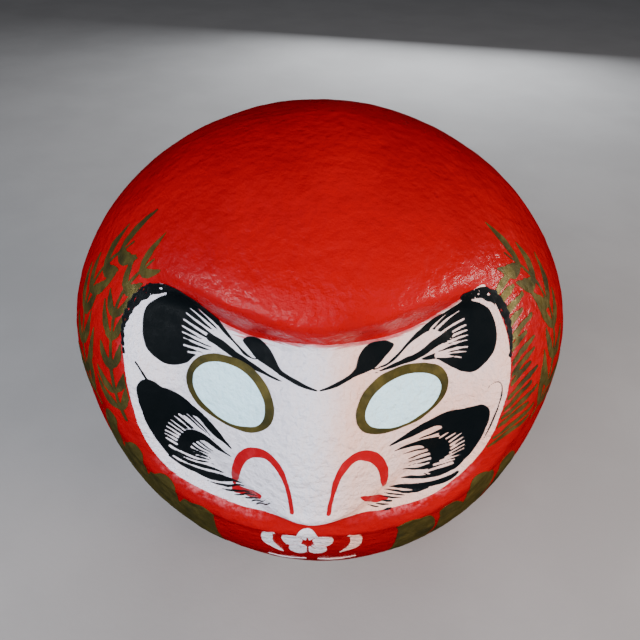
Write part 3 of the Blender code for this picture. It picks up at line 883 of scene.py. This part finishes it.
# The worn spot under the left eye ring: an oval's centre, radii and tilt.
WORN_SPOT = ((-55, 251.6), (8, 2.6), 0)
BROW_GAP_SHARES = (0.5, 0.75, 1.05)
BEARD_GAP_SHARES = (0.55, 0.8, 0.95)
BORDER_WIDTHS = (6, 7.6, 7.2, 6.2, 5, 4, 3, 2, 1)
SCALLOPS_FROM_X = 100
SCALLOP_DEPTH = 0.4
BROW_LEAF_WIDTHS = (4.4, 5.4, 4.8, 4.2, 3.4, 2.4, 1.3, 0.3)
WHISKER_WIDTHS = (2.8, 2.6, 0.4)
LONG_GAP_WIDTHS = (1.7, 1.9, 1.7, 1.3)
FLICK_WIDTHS = (1.5, 1.2, 0.3)
NOSTRIL_WIDTHS = (2.6, 5.6, 6, 6.4, 6.6, 6.8, 6.6, 6, 4.6, 3.4, 2.7, 2.7, 3)
LIPS = {
    "left": [(-56, 196.8), (-46, 201.2), (-39.5, 207), (-33.5, 206.6), (-38.6, 195.4), (-46, 192.8),
             (-54.5, 192.8)],
    "right": [(32.4, 209.8), (36.6, 208.4), (42.6, 202), (48.7, 196), (53.4, 193), (50, 191.4),
             (43.3, 191.6), (37, 200.6)],
}


def white_field(xz):
    return blob(xz, WHITE_OUTLINE, WHITE_STEPS)


def comb_gaps(xz, gaps, shares):
    """The white slits of a comb, each given by its two ends and its width, which the shares taper."""
    return [brush(xz, [start, end], [width * share for share in shares]) for start, end, width in gaps]


def brow_field(patch, side):
    """A black root, its comb of hairs ending in a long line, a leaf, a comma and the scalloped border."""
    b, xz = BROWS[side], patch.xz
    root = cut(blob(xz, b["mass"]), *comb_gaps(xz, b["gaps"], BROW_GAP_SHARES))
    outer = brush(xz, b["border"], BORDER_WIDTHS)
    scallops = 0.8 * np.sin(xz[..., 1] * 1.3) + patch.wobble(3.0, 1.0, 2.0)
    outer = np.where(SIDES[side] * xz[..., 0] > SCALLOPS_FROM_X, outer + SCALLOP_DEPTH * scallops, outer)
    leaf = brush(xz, b["leaf"], BROW_LEAF_WIDTHS)
    whisker = brush(xz, b["whisker"], WHISKER_WIDTHS)
    shape = union(root, cut(outer, cell_dots(patch, outer)), leaf, blob(xz, b["comma"]), whisker)
    return shape + patch.wobble(5.0, 0.25, 4.0)


def cell_dots(patch, outer):
    """Pinholes in the border, where the brush skipped the hollows of the paper."""
    p = np.concatenate((patch.uz, 0 * patch.uz[..., :1]), -1)
    return np.minimum(3.4 * (noise(p, 2.2, 9.1) - 0.62), outer + 3.0)


def beard_field(patch, side):
    """A black mass and a swirl joined by a comb of hairs, with strokes following the collar below."""
    b, xz = BEARDS[side], patch.xz
    body = union(blob(xz, b["mass"]), blob(xz, b["swirl"]))
    long_gap = brush(xz, b["long_gap"], LONG_GAP_WIDTHS)
    body = cut(body, *comb_gaps(xz, b["gaps"], BEARD_GAP_SHARES), long_gap)
    flicks = [brush(xz, line, FLICK_WIDTHS) for line in b["flicks"]]
    strokes = [brush(xz, line, widths) for line, widths in b["strokes"]]
    return union(body, *flicks, *strokes) + patch.wobble(5.0, 0.25, 6.0)


# ---- gold on the collar and at the temples
# Each stripe: where its round top lies along u, the height of the top, and the width.
STRIPES = [(-160, 236, 22), (-138, 215, 27), (-112, 196, 31), (-83, 177, 34), (73, 173, 34), (108, 170, 26),
           (127, 203, 29), (162, 196, 26)]
STRIPE_TOP_SHARE = 0.32
STRIPE_COURSE = [(9, 22), (15, 44), (18, 72), (18, 98)]
STRIPE_SHARES = np.array((0.62, 0.84, 0.98, 1.03, 1.05, 1.03, 1, 0.95, 0.6))
STEM_WIDTHS = (4.2, 3.8, 3.2, 2.0)
LEAF_ANGLE = 0.86
LEAF_CURL = 0.35
SPRAYS = {
    "left": [([(-182, 226), (-204, 250), (-220, 286), (-216, 322), (-194, 350)], 40),
             ([(-142, 238), (-154, 262), (-166, 292), (-172, 322), (-156, 350)], 32)],
    "right": [([(182, 226), (204, 250), (220, 286), (216, 322), (194, 350)], 40)],
}
SPRAY_LEAVES = 7
HATCH_STROKES = 15
HATCH_LOW_Z = 228
HATCH_PITCH = 7.2
HATCH_LEAD = 129
HATCH_REACH = 40
HATCH_WIDTHS = (1.4, 3.4, 4.2, 4.0, 2.2)


def stripe_field(patch):
    """Broad strokes with round tops that run down the belly from the collar."""
    made = []
    for u, top, width in STRIPES:
        side = 1 if u > 0 else -1
        line = [(u + side * 2, top - width * STRIPE_TOP_SHARE)]
        line += [(u + side * out, top - down) for out, down in STRIPE_COURSE]
        made.append(brush(patch.uz, line, width * STRIPE_SHARES))
    return union(*made) + patch.wobble(9.0, 0.5, 1.5)


def leaf_spray(grid, stem, size):
    """A stem with pairs of leaves, each a full brush stroke that springs from the stem and curls."""
    line = curve(stem)
    made = [brush(grid, stem, STEM_WIDTHS)]
    for i in range(SPRAY_LEAVES):
        k = int((i + 0.6) / SPRAY_LEAVES * (len(line) - 2))
        p, ahead = line[k], line[k + 1] - line[k]
        angle = math.atan2(ahead[1], ahead[0])
        for side in (-1, 1):
            length = size * (1.0 + 0.18 * math.sin(2.3 * i + side)) * (1 - 0.35 * i / SPRAY_LEAVES)
            out = angle + side * (LEAF_ANGLE + 0.10 * math.sin(1.7 * i))
            curl = out - side * LEAF_CURL
            mid = p + length * 0.5 * np.array((math.cos(out), math.sin(out)))
            tip = mid + length * 0.5 * np.array((math.cos(curl), math.sin(curl)))
            made.append(brush(grid, [p, mid, tip], (2.0, size * 0.20, size * 0.23, size * 0.15, 0.7)))
    return union(*made)


def ornament_field(patch, side):
    """Sprays of leaves at a temple, with a loose row of hatching between them and the face on the right."""
    made = [leaf_spray(patch.uz, stem, size) for stem, size in SPRAYS[side]]
    for i in range(HATCH_STROKES if side == "right" else 0):
        z = HATCH_LOW_Z + i * HATCH_PITCH
        lead = HATCH_LEAD + 1.9 * i - 0.05 * i * i + 2 * math.sin(i * 1.9)
        reach = HATCH_REACH + 6 * math.sin(i * 2.7)
        line = [(lead, z), (lead + reach * 0.5, z + 8), (lead + reach, z + 11)]
        made.append(brush(patch.uz, line, HATCH_WIDTHS))
    return union(*made) + patch.wobble(4.0, 0.5, 3.3)


# ---- white on the belly
BLOSSOM_CENTRE = np.array((-3.0, 141.0))
BLOSSOM_STRETCH = 1.5
PETALS = 5
NOTCH_TURN = math.degrees(0.628)
PETAL_OUT = 12.5
PETAL_RADII = (8.0, 12.5)
HEART_RADII = (3.6, 5.4)
# The crescent beside the blossom and the short arc under it, on the right; each with its widths.
BELLY_ARCS = [([(28, 163), (34, 150), (34, 132), (24, 114)], (3.0, 9.5, 9.0, 1.2)),
              ([(40, 92), (24, 84), (6, 88)], (2.0, 8.0, 2.0))]


def belly_field(patch):
    """A five-petalled blossom between two crescents, with a row of short arcs below."""
    uz = patch.uz

    def outward(turn):
        angle = math.radians(90 + turn)
        return np.array((math.cos(angle), BLOSSOM_STRETCH * math.sin(angle)))

    def slit(direction, start, end, widths):
        return brush(uz, [BLOSSOM_CENTRE + start * direction, BLOSSOM_CENTRE + end * direction], widths)

    petals, slits = [], [oval(uz, BLOSSOM_CENTRE, HEART_RADII, 0)]
    for i in range(PETALS):
        turn = 360 // PETALS * i
        petals.append(oval(uz, BLOSSOM_CENTRE + PETAL_OUT * outward(turn), PETAL_RADII, 0))
        slits.append(slit(outward(turn), 4, 11, (1.3, 1.0)))
        slits.append(slit(outward(turn + NOTCH_TURN), 6, 24, (1.2, 2.4)))
    arcs = [brush(uz, [(side * u, z) for u, z in line], widths)
            for side in SIDES.values() for line, widths in BELLY_ARCS]
    return union(cut(union(*petals), *slits), *arcs) + patch.wobble(6.0, 0.5, 8.2)


# ---- building the doll
# Where each paint is laid: u from and to on the right side, z from and to, and the grid's step.
WINDOWS = {
    "eye": (18, 96, 248, 305, 0.9),
    "brow": (-4, 184, 283, 344, 0.75),
    "beard": (26, 150, 184, 290, 0.75),
    "nostril": (6, 62, 186, 252, 0.8),
    "temple": (120, 268, 205, 368, 1.1),
}
FACE_WINDOW = (-168, 168, 178, 348, 1.05)
STRIPE_WINDOW = (-200, 204, 66, 246, 1.3)
BELLY_WINDOW = (-52, 52, 74, 180, 0.9)
ENAMEL_MARGIN = 1.2
TEMPLE_MARGIN = 1.5
STRIPE_MARGIN = 2.0


def feather(at):
    """How much the white thins to red near its edge, most of it under the hood's middle."""
    x = across_hull(at)
    depth = white_field(np.stack((x, at[:, 1]), -1))
    brow = smooth((at[:, 1] - 296) / 14) * smooth((96 - np.abs(x)) / 14)
    temple = smooth((at[:, 1] - 282) / 14) * smooth((np.abs(x) - 90) / 10)
    return smooth(1 - depth / (1.6 + 5.5 * brow)) * (0.55 + 0.45 * brow) * (1 - temple)


def build_paint():
    ink, gold, stroke, enamel = ink_paint(), gold_paint(), stroke_paint(), enamel_paint()
    white = white_paint()
    face = Patch(*FACE_WINDOW)
    ground = white_field(face.xz) + face.wobble(6.0, 0.35, 2.2)
    film("face_white", face, ground, WHITE_LIFT, white, {"feather": feather})
    for side, sign in SIDES.items():
        eye = EYES[side]
        patch = Patch(*WINDOWS["eye"], sign)
        disc = oval(patch.xz, *eye["disc"])
        film("eye_" + side, patch, disc + ENAMEL_MARGIN, ENAMEL_LIFT, enamel)
        chips = np.minimum(3.0 * (patch.wobble(2.2, 1.0, 5.5) - 0.05), oval(patch.xz, *WORN_SPOT))
        ring = cut(oval(patch.xz, *eye["ring"]), disc, chips) + patch.wobble(9.0, 0.5, 1.0 + sign)
        film("eye_ring_" + side, patch, ring, RING_LIFT, gold)
        patch = Patch(*WINDOWS["brow"], sign)
        film("brow_" + side, patch, brow_field(patch, side), STROKE_LIFT, ink)
        patch = Patch(*WINDOWS["beard"], sign)
        film("beard_" + side, patch, beard_field(patch, side), STROKE_LIFT, ink)
        patch = Patch(*WINDOWS["nostril"], sign)
        red = union(brush(patch.xz, NOSTRILS[side], NOSTRIL_WIDTHS), blob(patch.xz, LIPS[side]))
        film("nostril_" + side, patch, red + patch.wobble(5.0, 0.3, 7.0), ENAMEL_LIFT, stroke)
        patch = Patch(*WINDOWS["temple"], sign)
        clear = cut(ornament_field(patch, side), white_field(patch.xz) + TEMPLE_MARGIN)
        film("temple_gold_" + side, patch, clear, COAT_STROKE_LIFT, gold)
    patch = Patch(*STRIPE_WINDOW)
    clear = cut(stripe_field(patch), white_field(patch.xz) + STRIPE_MARGIN)
    film("belly_stripes", patch, clear, COAT_STROKE_LIFT, gold)
    patch = Patch(*BELLY_WINDOW)
    film("belly_blossom", patch, belly_field(patch), COAT_STROKE_LIFT, white)


TURNED_STEPS = 160
TURNED_CREASE = 35
SHEET_SOFT_SHARE = 0.35
SHEET_RIPPLE = 0.004
RIPPLE_SIZE = 0.012
WEIGHT_GAP = 0.0003
PLUG_CLEAR = 0.0085
WEIGHT_DOME = 0.008
FLANGE_LOW_SHARE = 0.8
BAND_STEPS, BAND_LEVELS = 300, 6
BAND_CLEAR, BAND_THICK = 0.0006, 0.0012
BAND_DROP, BAND_RISE = 0.0025, 0.0110
BAND_TORN_SHARE = 0.97
BAND_EDGE_SHARE = 0.45
BAND_LUMP = 0.00015


def turned(name, profile, paint, node, ripple=0.0):
    """A solid swept round Z from its (radius, height) pairs, standing for the CAD node of that shape."""
    steps = TURNED_STEPS
    angles = np.linspace(0, 2 * math.pi, steps, endpoint=False)
    points, faces, rows = [], [], []
    for r, z in profile:
        count = steps if r > 0 else 1
        rows.append(list(range(len(points), len(points) + count)))
        for a in angles[:count]:
            at = np.array((r * math.sin(a), -r * math.cos(a), z))
            wave = ripple * float(noise(at[None], RIPPLE_SIZE)[0]) if r > 0 else 0.0
            points.append((at[0] * (1 + wave), at[1] * (1 + wave), z))
    for low, high in zip(rows, rows[1:]):
        for i in range(steps):
            j = (i + 1) % steps
            if len(low) == 1:
                faces.append([low[0], high[j], high[i]])
            elif len(high) == 1:
                faces.append([low[i], low[j], high[0]])
            else:
                faces.append([low[i], low[j], high[j], high[i]])
    piece(name, points, faces, paint, (node,), crease=TURNED_CREASE)


def build_base():
    """The paper disc, the clay weight and the paper band round the foot, finer than their CAD solids."""
    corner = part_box("base_paper")[1]
    radius, thick = corner.x, corner.z
    soft = thick * SHEET_SOFT_SHARE
    profile = [(0, 0), (radius * 0.5, 0), (radius - soft, 0), (radius, soft), (radius, thick - soft),
               (radius - soft, thick), (radius * 0.5, thick), (0, thick)]
    turned("base_sheet", profile, fibre_paint("base_paper", PAPER, PAPER_DARK, 0.0004),
           "base_paper", SHEET_RIPPLE)
    weight_low, weight_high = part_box("base_weight")
    flange, crown = weight_high.x, weight_high.z
    low, high = weight_low.z, MOUTH_Z - WEIGHT_GAP
    plug, shoulder = MOUTH_RADIUS - PLUG_CLEAR, crown - WEIGHT_DOME
    deep = high - low
    profile = [(0, low), (flange * 0.5, low)]
    profile += [(flange - deep * (1 - math.sin(a)), low + deep * (1 - math.cos(a)) * FLANGE_LOW_SHARE)
                for a in np.linspace(0, math.pi / 2, 9)]
    profile += [(flange, high), (plug, high), (plug, shoulder)]
    profile += [(plug * math.cos(a), shoulder + WEIGHT_DOME * math.sin(a))
                for a in np.linspace(0, math.pi / 2, 10)[1:-1]]
    profile.append((0, crown))
    turned("clay_weight", profile, fibre_paint("fired_clay", CLAY, CLAY_DARK, 0.0005),
           "base_weight")
    joint_band()
    for name in ("seam_strip_crown", "seam_strip_left", "seam_strip_right"):
        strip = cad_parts[name]
        strip.data.materials.clear()
        strip.data.materials.append(fibre_paint(name, PAPER, PASTE, 0.0004))


def joint_band():
    """The torn paper band pasted over the joint of hull and weight, its upper edge uneven."""
    steps = BAND_STEPS
    theta = np.linspace(0, 2 * math.pi, steps, endpoint=False)
    ring = MOUTH_RADIUS * np.stack((np.sin(theta), np.cos(theta), 0 * theta), -1)
    torn = 1 + 0.10 * noise(ring, 0.010) + 0.05 * noise(ring, 0.003, 4.0)
    outward = np.stack((np.sin(theta), -np.cos(theta), 0 * theta), -1)
    rows_in, rows_out = [], []
    for level in range(-1, BAND_LEVELS + 1):
        if level < 0:
            at, n = hull(theta, np.full(steps, MOUTH_Z)) - np.array((0, 0, BAND_DROP)), outward
        else:
            z = MOUTH_Z + BAND_RISE * torn * level / BAND_LEVELS * BAND_TORN_SHARE
            at, n = hull(theta, z), normal(theta, z) if level else outward
        lump = BAND_LUMP * noise(at, 0.006)[:, None] * n
        row_value = BAND_THICK * (BAND_EDGE_SHARE if level == BAND_LEVELS else 1.0)
        rows_in.append(at + n * BAND_CLEAR)
        rows_out.append(at + n * (BAND_CLEAR + row_value) + lump)
    rings = rows_in + rows_out[::-1]
    points = np.vstack(rings)
    faces = []
    for k in range(len(rings)):
        m = (k + 1) % len(rings)
        for i in range(steps):
            j = (i + 1) % steps
            faces.append([k * steps + i, m * steps + i, m * steps + j, k * steps + j])
    piece("foot_band", points, faces, fibre_paint("joint_paper", PAPER, PASTE, 0.0003, 0.16),
          ("joint_strip",))


# ---- floor, light and camera
FLOOR_SIDE = 6.0
FLOOR_CUTS = 24
FLOOR_Z = -0.0002
FLOOR = (0.31, 0.31, 0.315)
CAMERA_ABOVE = math.radians(37.5)
CAMERA_LENS = 38.6
CAMERA_FAR = 0.606
CAMERA_DROP = 0.0239
CAMERA_BACK = -0.0313
CAMERA_ROLL = math.radians(1.2)
TURN = math.radians(1.0)
TURN_CENTRE = (0, -0.028, 0)
WORLD = (0.52, 0.54, 0.58, 1)
WORLD_STRENGTH = 0.24
LIT_POINT = (0, -0.08, 0.25)
# Each light: its name, place, size, power and colour, and whether the paint mirrors it.
LIGHTS = [
    ("key", (-0.35, -1.45, 1.15), (1.1, 0.9), 35, (0.97, 0.98, 1.0), False),
    ("cool_fill", (-1.3, -0.7, 0.8), (0.9, 0.9), 8, (0.80, 0.85, 1.0), False),
    ("warm_fill", (1.25, -0.9, 0.55), (0.7, 0.7), 22, (1.0, 0.72, 0.56), False),
    ("rear_fill", (0.3, 1.7, 0.6), (1.0, 0.8), 26, (0.96, 0.98, 1.0), False),
    ("left_strip", (-0.95, -1.25, 0.80), (1.5, 0.16), 11, (0.90, 0.94, 1.0), True),
    ("right_strip", (1.45, -0.45, 0.55), (0.9, 0.16), 12, (1.0, 0.92, 0.86), True),
]


def build_floor():
    side = FLOOR_SIDE / 2
    wide = FLOOR_CUTS + 1
    line = np.linspace(-side, side, wide)
    points = [(x, y, FLOOR_Z) for y in line for x in line]
    corners = [r * wide + c for r in range(FLOOR_CUTS) for c in range(FLOOR_CUTS)]
    faces = [[i, i + 1, i + wide + 1, i + wide] for i in corners]
    mesh = bpy.data.meshes.new("floor")
    mesh.from_pydata(points, [], faces)
    p = Paint("floor", Roughness=0.8)
    p.colour(p.mix(p.ramp(p.noise(5.0, 5.0, 0.6), 0.35, 0.65), FLOOR, tuple(0.93 * c for c in FLOOR)))
    p.bump((p.noise(160.0, 4.0), 0.0002),)
    mesh.materials.append(p.material)
    floor = bpy.data.objects.new("floor", mesh)
    bpy.context.scene.collection.objects.link(floor)
    floor.visible_glossy = False


def area_light(name, at, size, power, colour, mirrored):
    data = bpy.data.lights.new(name, "AREA")
    data.shape = "RECTANGLE"
    data.size, data.size_y = size
    data.energy = power
    data.color = colour
    lamp = bpy.data.objects.new(name, data)
    bpy.context.scene.collection.objects.link(lamp)
    lamp.location = at
    lamp.rotation_euler = (Vector(at) - Vector(LIT_POINT)).to_track_quat("Z", "Y").to_euler()
    lamp.visible_glossy = mirrored


def build_light():
    world = bpy.data.worlds.new("studio")
    world.use_nodes = True
    background = world.node_tree.nodes["Background"]
    background.inputs["Color"].default_value = WORLD
    background.inputs["Strength"].default_value = WORLD_STRENGTH
    world.cycles_visibility.glossy = False
    bpy.context.scene.world = world
    for light in LIGHTS:
        area_light(*light)


def build_camera():
    data = bpy.data.cameras.new("camera")
    data.lens = CAMERA_LENS
    data.sensor_width = 36.0
    data.clip_start = 0.02
    data.clip_end = 50
    camera = bpy.data.objects.new("camera", data)
    bpy.context.scene.collection.objects.link(camera)
    back = np.array((0, -math.cos(CAMERA_ABOVE), math.sin(CAMERA_ABOVE)))
    up = np.array((0, math.sin(CAMERA_ABOVE), math.cos(CAMERA_ABOVE)))
    axes = Matrix(((1, 0, 0), tuple(up), tuple(back))).transposed().to_4x4()
    at = np.array((0, CAMERA_BACK, HEIGHT / 2)) + back * CAMERA_FAR
    aimed = Matrix.Translation(at.tolist()) @ axes
    aimed = aimed @ Matrix.Rotation(CAMERA_DROP, 4, "X") @ Matrix.Rotation(CAMERA_ROLL, 4, "Z")
    centre = Matrix.Translation(TURN_CENTRE)
    camera.matrix_world = centre @ Matrix.Rotation(TURN, 4, "Z") @ centre.inverted() @ aimed
    bpy.context.scene.camera = camera


painted_hull()
build_paint()
build_base()
build_floor()
build_light()
build_camera()
